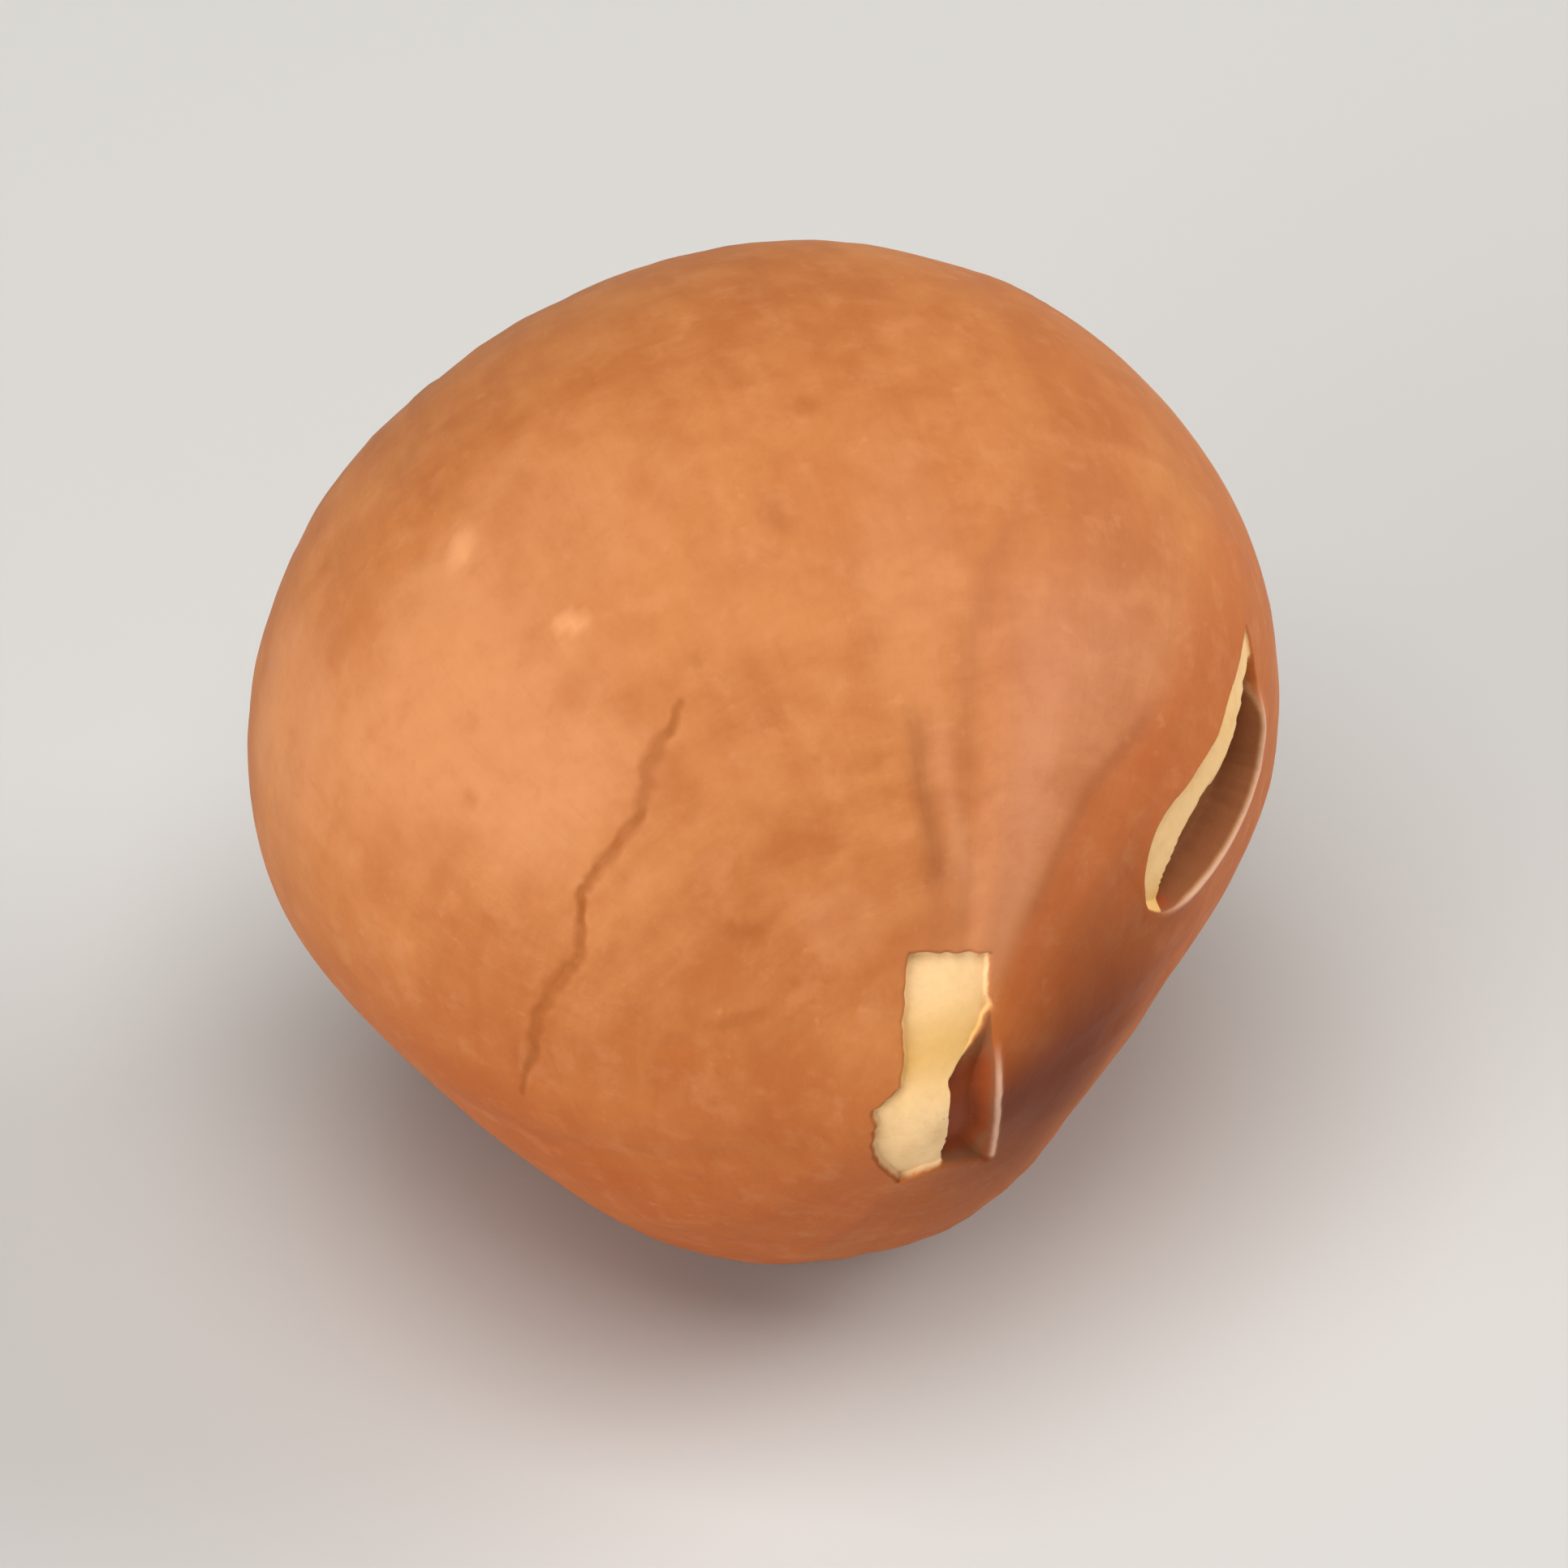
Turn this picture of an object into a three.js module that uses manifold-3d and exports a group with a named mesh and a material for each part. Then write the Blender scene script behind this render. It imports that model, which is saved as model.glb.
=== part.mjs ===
// A shelled hazelnut kernel in its roasted skin, lying on its side. Millimetres, +Z up.
// The pointed tip looks towards -Y and the broad base towards +Y; the origin is the middle of the
// small flat spot that the kernel rests on.

import * as THREE from 'three';
import Module from 'manifold-3d';
import { mergeVertices } from 'three/addons/utils/BufferGeometryUtils.js';

// Long section: places along the axis are measured from the widest section, tip positive.
const WIDEST_RADIUS = 7.0;
const BASE_AT = -6.65;
const NECK_AT = 6.6;
const NECK_RADIUS = 2.35;
const NECK_LEAN = 60;
const TIP_AT = 7.75;
const TIP_BLUNTNESS = 0.5;

// Cross section: a little oval and a little three-sided, both turned around the axis by an angle.
const OVAL_SHARE = 0.014;
const OVAL_AROUND = 26;
const TRIANGLE_SHARE = 0.018;
const TRIANGLE_AROUND = 41;

// Two flattened cheeks, each square to a direction given from the tip and around the axis.
const CHEEK_SOFTNESS = 0.8;
const CHEEK_PRESS = 0.85;
const LEFT_CHEEK = { fromTip: 73, around: 217, distance: 6.5 };
const RIGHT_CHEEK = { fromTip: 52, around: 328, distance: 6.2 };

// Skin relief: fine ribs that gather towards the tip, a raised lobe, creases and the rim of the base scar.
const RIB_HEIGHT = 0.035;
const COARSE_RIBS = 11;
const FINE_RIBS = 17;
const LOBE_RISE = 0.12;
const LOBE_FROM = 34;
const LOBE_TO = 71;
const CREASES = [
  { around: 83, depth: 0.10, width: 4.5 },
  { around: 70, depth: 0.08, width: 5.5 },
  { around: 140, depth: 0.06, width: 8.0 },
  { around: 205, depth: 0.07, width: 7.0 },
  { around: 262, depth: 0.06, width: 7.0 },
  { around: 318, depth: 0.08, width: 6.5 },
];
const SCAR_RADIUS = 2.7;
const SCAR_RIM = 0.08;

// Where the skin is gone, the flesh lies one skin thickness lower.
const SKIN_THICKNESS = 0.25;
const CRACK_WIDTH = 0.16;

// Where each opening sits: its place on the axis, distance from it, turn around it and lean to the tip.
const TIP_SEAT = { axial: TIP_AT, radius: 0, around: 270, lean: 90 };
const SPLIT_SEAT = { axial: 4.4, radius: 5.3, around: 22, lean: 45 };
const CRACK_SEAT = { axial: 4.55, radius: 5.1, around: 143, lean: 45 };

// Pose on the ground.
const TIP_DIP = 0.0;
const SIDE_ROLL = 0.0;
const FLAT_DEPTH = 0.2;

// Facets.
const AROUND_STEPS = 84;
const BACK_STEPS = 16;
const FRONT_STEPS = 16;
const NOSE_STEPS = 6;

const SKIN_COLOUR = 0xd38854;

const radians = THREE.MathUtils.degToRad;

function smooth(from, to, value) {
  return THREE.MathUtils.smoothstep(value, from, to);
}

function angleBetween(a, b) {
  return ((a - b + 540) % 360) - 180;
}

// Outline of half the long section, from the base to the tip: x is the radius, y the place on the axis.
function longSection() {
  const leanOut = Math.sin(radians(NECK_LEAN));
  const leanBack = Math.cos(radians(NECK_LEAN));
  const back = new THREE.CubicBezierCurve(
    new THREE.Vector2(0, BASE_AT),
    new THREE.Vector2(0.6 * WIDEST_RADIUS, BASE_AT),
    new THREE.Vector2(WIDEST_RADIUS, 0.58 * BASE_AT),
    new THREE.Vector2(WIDEST_RADIUS, 0),
  );
  const front = new THREE.CubicBezierCurve(
    new THREE.Vector2(WIDEST_RADIUS, 0),
    new THREE.Vector2(WIDEST_RADIUS, 0.55 * NECK_AT),
    new THREE.Vector2(NECK_RADIUS + 2.2 * leanOut, NECK_AT - 2.2 * leanBack),
    new THREE.Vector2(NECK_RADIUS, NECK_AT),
  );
  const nose = new THREE.CubicBezierCurve(
    new THREE.Vector2(NECK_RADIUS, NECK_AT),
    new THREE.Vector2(NECK_RADIUS - 0.7 * leanOut, NECK_AT + 0.7 * leanBack),
    new THREE.Vector2(TIP_BLUNTNESS, TIP_AT),
    new THREE.Vector2(0, TIP_AT),
  );
  const points = back.getSpacedPoints(BACK_STEPS);
  points.push(...front.getSpacedPoints(FRONT_STEPS).slice(1));
  points.push(...nose.getSpacedPoints(NOSE_STEPS).slice(1));
  return points;
}

// How far the skin stands out from the smooth form, in millimetres.
function relief(axial, radius, around) {
  const turn = radians(around);
  const gathered = smooth(-4, 5.5, axial) * smooth(0.8, 3.2, radius);
  const fine = Math.cos(FINE_RIBS * turn + 1.3 * Math.sin(2 * turn));
  const coarse = Math.cos(COARSE_RIBS * turn + 0.8);
  let height = RIB_HEIGHT * (0.6 * fine + 0.4 * coarse) * gathered;
  const lobe = smooth(LOBE_FROM - 18, LOBE_FROM + 10, around) * (1 - smooth(LOBE_TO - 4, LOBE_TO + 3, around));
  height += LOBE_RISE * lobe * smooth(0, 4, axial) * smooth(0.6, 2.4, radius);
  for (const crease of CREASES) {
    const away = angleBetween(around, crease.around) / crease.width;
    height -= crease.depth * Math.exp(-away * away) * smooth(1.5, 5, axial) * smooth(0.6, 2, radius);
  }
  if (axial < 0) {
    const fromRim = (radius - SCAR_RADIUS) / 0.5;
    height += SCAR_RIM * Math.exp(-fromRim * fromRim) * smooth(-3, -5.5, axial);
  }
  return height;
}

// Presses the part of the form that stands beyond a cheek's plane softly back towards the plane.
function pressCheek(point, cheek) {
  const out = Math.sin(radians(cheek.fromTip));
  const square = new THREE.Vector3(
    out * Math.cos(radians(cheek.around)),
    -Math.cos(radians(cheek.fromTip)),
    out * Math.sin(radians(cheek.around)),
  );
  const beyond = point.dot(square) - cheek.distance;
  const press = 0.5 * CHEEK_PRESS * (beyond + Math.hypot(beyond, CHEEK_SOFTNESS));
  point.addScaledVector(square, -press);
}

// The outside of the kernel, with its axis along -Y and the widest section at the origin: the skin with
// its whole relief, or with none of it for the smooth flesh.
function kernelForm(reliefShare) {
  const form = mergeVertices(positionOnly(new THREE.LatheGeometry(longSection(), AROUND_STEPS)));
  const places = form.getAttribute('position');
  const point = new THREE.Vector3();
  for (let i = 0; i < places.count; i += 1) {
    const axial = places.getY(i);
    const radius = Math.hypot(places.getX(i), places.getZ(i));
    const turn = Math.atan2(places.getX(i), places.getZ(i));
    const around = (THREE.MathUtils.radToDeg(turn) + 360) % 360;
    const oval = OVAL_SHARE * Math.cos(2 * (turn - radians(OVAL_AROUND)));
    const triangle = TRIANGLE_SHARE * Math.cos(3 * (turn - radians(TRIANGLE_AROUND)));
    const reach = radius * (1 + oval + triangle);
    point.set(reach * Math.cos(turn), -axial, reach * Math.sin(turn));
    pressCheek(point, LEFT_CHEEK);
    pressCheek(point, RIGHT_CHEEK);
    const outward = point.clone().setY(point.y * 0.6).normalize();
    point.addScaledVector(outward, reliefShare * relief(axial, radius, around));
    places.setXYZ(i, point.x, point.y, point.z);
  }
  form.computeVertexNormals();
  return form;
}

// The flesh under the skin: the smooth form, moved in by the skin's thickness.
function fleshForm() {
  const flesh = kernelForm(0);
  const places = flesh.getAttribute('position');
  const normals = flesh.getAttribute('normal');
  const inward = new THREE.Vector3();
  for (let i = 0; i < places.count; i += 1) {
    inward.fromBufferAttribute(normals, i).multiplyScalar(-SKIN_THICKNESS);
    places.setXYZ(i, places.getX(i) + inward.x, places.getY(i) + inward.y, places.getZ(i) + inward.z);
  }
  return flesh;
}

function positionOnly(geometry) {
  const bare = new THREE.BufferGeometry();
  bare.setAttribute('position', geometry.getAttribute('position').clone());
  if (geometry.index) {
    bare.setIndex(geometry.index.clone());
  }
  return bare;
}

const wasm = await Module();
wasm.setup();

function toSolid(geometry) {
  const merged = mergeVertices(positionOnly(geometry), 1e-5);
  const vertProperties = Float32Array.from(merged.getAttribute('position').array);
  const triVerts = Uint32Array.from(merged.index.array);
  return new wasm.Manifold(new wasm.Mesh({ numProp: 3, vertProperties, triVerts }));
}

function toGeometry(solid) {
  const mesh = solid.getMesh();
  const geometry = new THREE.BufferGeometry();
  geometry.setAttribute('position', new THREE.BufferAttribute(Float32Array.from(mesh.vertProperties), 3));
  geometry.setIndex(new THREE.BufferAttribute(Uint32Array.from(mesh.triVerts), 1));
  return geometry;
}

// A straight-sided cutter through the skin, with its outline drawn on a plane that touches the kernel
// at a place given from the axis; the outline's y runs towards the tip and its x around the axis.
function skinWindow(outline, seat) {
  const cutter = new THREE.ExtrudeGeometry(outline, { depth: 4, bevelEnabled: false, curveSegments: 6 });
  cutter.translate(0, 0, -2);
  const around = radians(seat.around);
  const lean = radians(seat.lean);
  const outward = new THREE.Vector3(
    Math.cos(lean) * Math.cos(around),
    -Math.sin(lean),
    Math.cos(lean) * Math.sin(around),
  );
  const sideways = new THREE.Vector3(-Math.sin(around), 0, Math.cos(around));
  const tipward = new THREE.Vector3().crossVectors(outward, sideways);
  const place = new THREE.Matrix4().makeBasis(sideways, tipward, outward);
  place.setPosition(
    seat.radius * Math.cos(around),
    -seat.axial,
    seat.radius * Math.sin(around),
  );
  cutter.applyMatrix4(place);
  return toSolid(cutter);
}

// The chip over the tip, seen from straight in front of it: x to the right and y up.
function tipChipOutline() {
  const outline = new THREE.Shape();
  outline.moveTo(-0.22, 2.09);
  outline.lineTo(0.84, 1.72);
  outline.lineTo(0.62, 1.15);
  outline.lineTo(0.25, 0.69);
  outline.lineTo(0.0, 0.24);
  outline.lineTo(0.05, -1.23);
  outline.lineTo(-0.60, -1.12);
  outline.lineTo(-0.95, -0.80);
  outline.lineTo(-0.99, 0.25);
  outline.lineTo(-0.62, 0.60);
  outline.lineTo(-0.42, 1.80);
  outline.closePath();
  return outline;
}

// The split beside the nose, where the skin has opened along the axis.
function sideSplitOutline() {
  const outline = new THREE.Shape();
  outline.moveTo(0.60, -2.05);
  outline.quadraticCurveTo(0.90, -1.20, 0.64, -0.10);
  outline.quadraticCurveTo(0.66, 1.20, 0.02, 2.12);
  outline.lineTo(-0.45, 1.94);
  outline.quadraticCurveTo(-0.85, 0.90, -0.62, -0.20);
  outline.quadraticCurveTo(-0.30, -1.10, 0.60, -2.05);
  return outline;
}

// The hairline crack across the left flank: a jagged strip that thins out at both ends.
function crackOutline() {
  const route = [
    new THREE.Vector2(-2.94, -0.74),
    new THREE.Vector2(-1.67, -0.38),
    new THREE.Vector2(-0.80, -0.02),
    new THREE.Vector2(0.05, 0.00),
    new THREE.Vector2(1.08, 0.63),
    new THREE.Vector2(2.10, 0.58),
    new THREE.Vector2(3.72, 1.01),
  ];
  const last = route.length - 1;
  const outline = new THREE.Shape();
  outline.moveTo(route[0].x, route[0].y);
  for (let i = 1; i < last; i += 1) {
    outline.lineTo(route[i].x, route[i].y - CRACK_WIDTH / 2);
  }
  outline.lineTo(route[last].x, route[last].y);
  for (let i = last - 1; i > 0; i -= 1) {
    outline.lineTo(route[i].x, route[i].y + CRACK_WIDTH / 2);
  }
  outline.closePath();
  return outline;
}

// Cuts the small flat spot under the kernel and brings its middle to the origin.
function restOnFlat(solid) {
  const lowest = solid.boundingBox().min[2];
  const ground = new THREE.BoxGeometry(30, 30, 4);
  ground.translate(0, 0, lowest + FLAT_DEPTH - 2);
  const rested = solid.subtract(toSolid(ground));
  const places = toGeometry(rested).getAttribute('position');
  const spot = new THREE.Box2();
  for (let i = 0; i < places.count; i += 1) {
    if (Math.abs(places.getZ(i) - lowest - FLAT_DEPTH) < 1e-4) {
      spot.expandByPoint(new THREE.Vector2(places.getX(i), places.getY(i)));
    }
  }
  const middle = spot.getCenter(new THREE.Vector2());
  return rested.translate([-middle.x, -middle.y, -lowest - FLAT_DEPTH]);
}

const skin = toSolid(kernelForm(1));
const flesh = toSolid(fleshForm());
const tipChip = skinWindow(tipChipOutline(), TIP_SEAT);
const sideSplit = skinWindow(sideSplitOutline(), SPLIT_SEAT);
const crack = skinWindow(crackOutline(), CRACK_SEAT);
const bared = tipChip.add(sideSplit).add(crack).subtract(flesh);
const whole = skin.subtract(bared);
const rested = restOnFlat(whole.rotate([TIP_DIP, SIDE_ROLL, 0]));

const kernelGeometry = toGeometry(rested);
kernelGeometry.computeVertexNormals();
const kernel = new THREE.Mesh(
  kernelGeometry,
  new THREE.MeshStandardMaterial({ color: SKIN_COLOUR, roughness: 0.55, metalness: 0 }),
);
kernel.name = 'hazelnut_kernel';

const part = new THREE.Group();
part.name = 'hazelnut';
part.add(kernel);

export default part;
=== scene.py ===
"""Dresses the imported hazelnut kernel: one closed, finely meshed kernel with its roasted skin, and a stage.

Lengths inside the form functions are in millimetres of the drawn kernel, with the kernel's axis along
-Y (the tip looks towards -Y) and the widest section at the origin. The last step brings the form to
metres and into the row frame.
"""

import math

import bmesh
import bpy
import numpy as np
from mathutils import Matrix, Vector


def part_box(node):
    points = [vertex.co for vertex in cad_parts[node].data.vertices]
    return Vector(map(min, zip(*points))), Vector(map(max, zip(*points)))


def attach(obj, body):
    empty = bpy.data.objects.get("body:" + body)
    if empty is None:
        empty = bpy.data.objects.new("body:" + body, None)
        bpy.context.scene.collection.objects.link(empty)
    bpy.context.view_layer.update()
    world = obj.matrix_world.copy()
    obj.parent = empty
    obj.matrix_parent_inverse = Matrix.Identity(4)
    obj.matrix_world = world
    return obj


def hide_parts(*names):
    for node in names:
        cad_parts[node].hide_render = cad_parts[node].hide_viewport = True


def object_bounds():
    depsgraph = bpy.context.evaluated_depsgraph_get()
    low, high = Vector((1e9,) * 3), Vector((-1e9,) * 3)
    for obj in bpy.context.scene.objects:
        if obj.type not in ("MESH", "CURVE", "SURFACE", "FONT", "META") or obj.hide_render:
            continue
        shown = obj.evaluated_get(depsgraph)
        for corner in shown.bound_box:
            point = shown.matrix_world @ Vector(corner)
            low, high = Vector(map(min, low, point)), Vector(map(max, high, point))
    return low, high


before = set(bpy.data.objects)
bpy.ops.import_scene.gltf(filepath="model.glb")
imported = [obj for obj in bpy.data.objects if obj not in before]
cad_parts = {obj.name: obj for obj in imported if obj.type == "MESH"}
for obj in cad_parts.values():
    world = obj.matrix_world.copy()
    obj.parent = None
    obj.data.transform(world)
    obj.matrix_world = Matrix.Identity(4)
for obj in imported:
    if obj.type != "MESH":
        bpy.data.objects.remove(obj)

CAD_LOW, CAD_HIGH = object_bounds()
NODE = "hazelnut_kernel"
NODE_LOW, NODE_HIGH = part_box(NODE)
DRAWN_WIDTH_MM = 14.018
METRES_PER_MM = (NODE_HIGH[0] - NODE_LOW[0]) / DRAWN_WIDTH_MM
# The properties hold metres, and the form is drawn in millimetres.
MM_PER_METRE = 1000.0

bl_info = {
    "name": "Hazelnut kernel",
    "version": (1, 0, 0),
    "blender": (4, 5, 0),
    "location": "3D View > Sidebar > Hazelnut",
    "description": "Builds a roasted hazelnut kernel in its skin and a plain stage for it",
    "category": "Object",
}

# Long section, measured along the axis from the widest section, tip positive.
WIDEST_RADIUS = 7.0
BASE_AT = -6.65
NECK_AT = 6.6
NECK_RADIUS = 2.35
NECK_LEAN = 60.0
TIP_AT = 7.75
TIP_BLUNTNESS = 0.5
# How full the curves between those places are: as shares of the size, then in millimetres.
BASE_FULLNESS, REAR_FULLNESS, FRONT_FULLNESS = 0.6, 0.58, 0.55
NECK_REACH, NOSE_REACH = 2.2, 0.7
SECTION_POINTS, NOSE_POINTS, SPLIT_CURVE_POINTS = 400, 200, 10

# Cross section and flattened cheeks.
OVAL_SHARE, OVAL_AROUND = 0.014, 26.0
TRIANGLE_SHARE, TRIANGLE_AROUND = 0.018, 41.0
CHEEK_SOFTNESS, CHEEK_PRESS = 0.8, 0.85
CHEEKS = (
    {"from_tip": 73.0, "around": 217.0, "distance": 6.5},
    {"from_tip": 52.0, "around": 328.0, "distance": 6.2},
)

# Relief that the solid has too, a little softer here.
COARSE_RIBS, FINE_RIBS = 11, 17
LOBE_FROM, LOBE_TO = 34.0, 73.0
# Creases: turn around the axis, depth in millimetres, width in degrees.
CREASES = (
    (83.0, 0.03, 4.5), (75.0, 0.025, 4.5), (140.0, 0.02, 9.0),
    (205.0, 0.03, 8.0), (262.0, 0.03, 8.0), (318.0, 0.04, 7.5),
)
SCAR_RADIUS, SCAR_RIM = 2.7, 0.08

# Where the openings in the skin sit: place on the axis, distance from it, turn around it, lean to the tip.
SPLIT_SEAT = {"axial": 4.4, "radius": 5.3, "around": 22.0, "lean": 45.0}
CRACK_SEAT = {"axial": 4.55, "radius": 5.1, "around": 143.0, "lean": 45.0}

# Outlines of the openings. The chip and the hollow beside it are seen from straight in front of the tip.
CHIP_OUTLINE = (
    (-0.26, 2.25), (0.83, 2.03), (0.74, 1.42), (0.05, 0.62), (0.0, 0.14), (0.02, -1.16),
    (-0.51, -1.48), (-0.98, -0.68), (-0.99, 0.27), (-0.64, 0.62), (-0.46, 1.63),
)
HOLLOW_OUTLINE = (
    (0.74, 1.42), (0.70, 0.80), (0.67, -0.05), (0.80, -1.60),
    (0.31, -1.40), (-0.25, -1.10), (-0.30, 0.14), (-0.2, 0.62),
)
SPLIT_CURVES = (
    ((0.78, -2.05), (0.72, -0.95), (0.66, -0.30)),
    ((0.66, -0.30), (0.66, 0.45), (0.84, 0.95)),
    ((0.84, 0.95), (0.92, 1.55), (0.50, 1.93)),
    ((0.50, 1.93), (0.20, 2.15), (-0.11, 2.12)),
    ((-0.11, 2.12), (-0.50, 1.95), (-0.62, 1.50)),
    ((-0.62, 1.50), (-1.15, 0.10), (-0.80, -0.85)),
    ((-0.80, -0.85), (-0.30, -1.60), (0.78, -2.05)),
)
# Where the flesh in the split drops into the gap: place towards the tip, place around.
GAP_EDGE = (
    (-2.05, 0.42), (-1.43, 0.22), (-0.77, 0.06), (-0.15, 0.06),
    (0.43, 0.15), (0.97, 0.08), (1.48, -0.10), (1.90, -0.40),
)

# Route of the hairline crack: place around, place towards the tip, width.
CRACK_ROUTE = (
    (-2.44, -0.51, 0.09), (-2.08, -0.36, 0.15), (-1.64, -0.32, 0.26), (-1.32, -0.11, 0.22),
    (-1.03, 0.06, 0.22), (-0.54, 0.07, 0.18), (-0.04, 0.06, 0.15), (0.31, 0.08, 0.14),
    (0.53, 0.25, 0.13), (1.01, 0.59, 0.14), (1.50, 0.60, 0.18), (1.89, 0.60, 0.21),
    (2.32, 0.65, 0.16), (2.90, 0.90, 0.14), (3.61, 1.05, 0.07),
)

# Lines on the nose, each as place on the axis and turn around it: the sharp crease above the chip, the near
# edge of the raised lobe beside it, which gets a painted shadow line, the crest of that lobe, where its pink
# colour and painted sheen are strongest, and the edge of the reddish skin on its far side, past which the
# skin also carries painted shade.
CREASE_LINE = ((4.70, 84.8), (5.07, 84.7), (5.43, 85.3), (5.80, 84.1), (6.04, 83.2), (6.45, 82.8))
LOBE_EDGE = ((2.44, 65.7), (3.40, 71.8), (4.27, 75.1), (4.96, 76.2), (5.59, 75.2))
CREST_LINE = ((2.60, 54.0), (3.30, 55.9), (4.42, 59.4), (5.09, 62.4), (5.78, 65.0), (6.36, 68.7))
RUDDY_EDGE = (
    (0.0, 35.0), (2.2, 39.0), (4.34, 43.9), (4.87, 47.3), (5.43, 53.2), (5.97, 56.3), (6.64, 59.8),
)

# Marks in the skin: place on the axis, turn around it, half width, half height, tilt.
# Pale patches on the left flank: partly rubbed paler skin, partly painted sheen.
PALE_AND_SHEEN_PATCHES = (
    (1.9, 143.0, 2.4, 2.0, -20.0), (3.5, 140.0, 1.6, 1.3, -30.0), (0.6, 132.0, 0.9, 0.9, 0.0),
    (-0.3, 162.0, 1.4, 1.8, 0.0),
)
FADED_PATCHES = ((3.3, 81.0, 0.8, 2.2, 0.0), (0.9, 122.0, 1.7, 1.5, 0.0), (6.2, 112.0, 0.6, 0.6, 0.0))
# Small painted glints of light on the left flank.
PAINTED_GLINTS = ((0.25, 130.8, 0.20, 0.30, -20.0), (2.25, 123.9, 0.28, 0.15, -38.0))
BROWN_FLECKS = (
    (3.47, 112.6, 0.15, 0.11, -40.0), (5.87, 132.3, 0.30, 0.13, -42.0),
    (6.28, 152.0, 0.42, 0.12, -42.0), (2.10, 96.0, 0.16, 0.30, 0.0),
    (0.60, 88.0, 0.30, 0.16, 0.0), (3.05, 148.0, 0.12, 0.16, 0.0),
    (1.20, 240.0, 0.20, 0.30, 0.0), (2.60, 300.0, 0.16, 0.24, 0.0),
    (-2.20, 35.0, 0.20, 0.40, 0.0), (-1.40, 180.0, 0.22, 0.30, 0.0),
    (4.90, 230.0, 0.14, 0.20, 0.0), (-3.00, 275.0, 0.20, 0.30, 0.0),
)

# Fine relief: how many pits and veins there are, and heights, depths and widths in millimetres.
PIT_COUNT, VEIN_COUNT = 70, 15
PIT_WIDTHS, PIT_DEPTHS, PIT_RADIUS = (0.10, 0.26), (0.008, 0.03), 6.9
VEIN_HEIGHT = 0.028
SCAR_FIBRE, SCAR_GRAIN, SCAR_SINK = 0.012, 0.06, 0.07
SCAR_LIP, SCAR_DIMPLE, SCAR_WANDER = 0.035, 0.10, 0.30
SPLIT_RAGGED, CHIP_RAGGED, HOLLOW_RAGGED = 0.022, 0.024, 0.008
SPLIT_LIP_LIFT, TORN_EDGE_LIFT = 0.10, 0.02
HOLLOW_DEPTH, HOLLOW_RIM_LIFT = 0.34, 0.05
CRACK_STEP, CRACK_ZIGZAG = 0.012, 0.035
CREASE_DEPTH, RIDGE_HEIGHT, RIDGE_AWAY = 0.035, 0.025, 0.33
# Width, in metres, that the widths in the crack's route are given for.
CRACK_NOMINAL_WIDTH = 0.00016

# The random heights: how many there are before they repeat, and the starting number of each use.
NOISE_CELLS = 512
SEEDS = {
    "lumps": 3, "folds": 5, "hairs": 7, "crack_line": 11, "pits": 23, "scar": 31, "scar_edge": 33,
    "split_edge": 41, "split_flesh": 43, "tip_edge": 51, "tip_flesh": 53, "crack_edge": 61, "marks": 71,
}

# Where an opening is looked for: from this place on the axis, and no deeper below its own plane.
TIP_FROM, SEAT_DEPTH = 5.4, 2.5
# Stand-ins for a distance and for a depth inside an outline where the opening isn't near.
FAR_AWAY, FAR_OUTSIDE = 1e9, -9.0

# The grid: faces around, spacing of the rings, and how much closer they lie in front and on the nose.
COLUMNS = 256
RING_SPACING, FRONT_CLOSER, NOSE_CLOSER = 0.15, 0.03, 0.075

# Softboxes: direction from the kernel, then distance and width in metres.
LEFT_SOFTBOX = ((-0.88, -0.39, 0.28), 0.25, 0.18)
RIGHT_SOFTBOX = ((0.85, 0.02, 0.47), 0.27, 0.18)
TOP_SOFTBOX = ((-0.15, -0.22, 0.96), 0.30, 0.22)
SKY_TINT = (1.0, 0.985, 0.965, 1.0)
FLOOR_REACH = 1.5


def smooth(start, end, value):
    """Goes from 0 at start to 1 at end with an S-shaped rise; start may be above end."""
    share = np.clip((value - start) / (end - start), 0.0, 1.0)
    return share * share * (3.0 - 2.0 * share)


def bump(distance, width):
    """A bell of height 1 at distance 0."""
    return np.exp(-((distance / width) ** 2))


def turn_between(a, b):
    """Smallest turn from b to a, in degrees."""
    return (a - b + 540.0) % 360.0 - 180.0


class SeededNoise:
    """Smooth random heights between -1 and 1 over space, the same on every run."""

    def __init__(self, use):
        draw = np.random.default_rng(SEEDS[use])
        self.order = draw.permutation(NOISE_CELLS)
        self.height = draw.uniform(-1.0, 1.0, NOISE_CELLS)

    def corner(self, cell):
        at = 0
        for place in cell.T:
            at = self.order[(at + place) % NOISE_CELLS]
        return self.height[at]

    def __call__(self, points):
        cell = np.floor(points).astype(int)
        part = points - cell
        blend = part**3 * (part * (part * 6.0 - 15.0) + 10.0)
        total = np.zeros(len(points))
        for corner in np.ndindex(2, 2, 2):
            step = np.array(corner)
            weight = np.prod(np.where(step == 1, blend, 1.0 - blend), axis=1)
            total += weight * self.corner(cell + step)
        return total

    def layered(self, points, layers=3):
        """Sums finer and finer noise, each half as high as the one before."""
        total, height = np.zeros(len(points)), 1.0
        for layer in range(layers):
            total += height * self(points * 2.0**layer + 17.3 * layer)
            height *= 0.5
        return total


def cubic(points, count):
    """Points on a cubic curve with the given four control points."""
    share = np.linspace(0.0, 1.0, count)[:, None]
    a, b, c, d = np.array(points, float)
    rest = 1.0 - share
    return rest**3 * a + 3 * rest**2 * share * b + 3 * rest * share**2 * c + share**3 * d


def quadratic(points, count):
    """Points on a quadratic curve, without its last one."""
    share = np.linspace(0.0, 1.0, count, endpoint=False)[:, None]
    a, b, c = np.array(points, float)
    return (1.0 - share) ** 2 * a + 2 * (1.0 - share) * share * b + share**2 * c


def length_passed(line):
    """Length along a line at each of its points."""
    return np.concatenate(((0.0,), np.cumsum(np.hypot(*np.diff(line, axis=0).T))))


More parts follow.
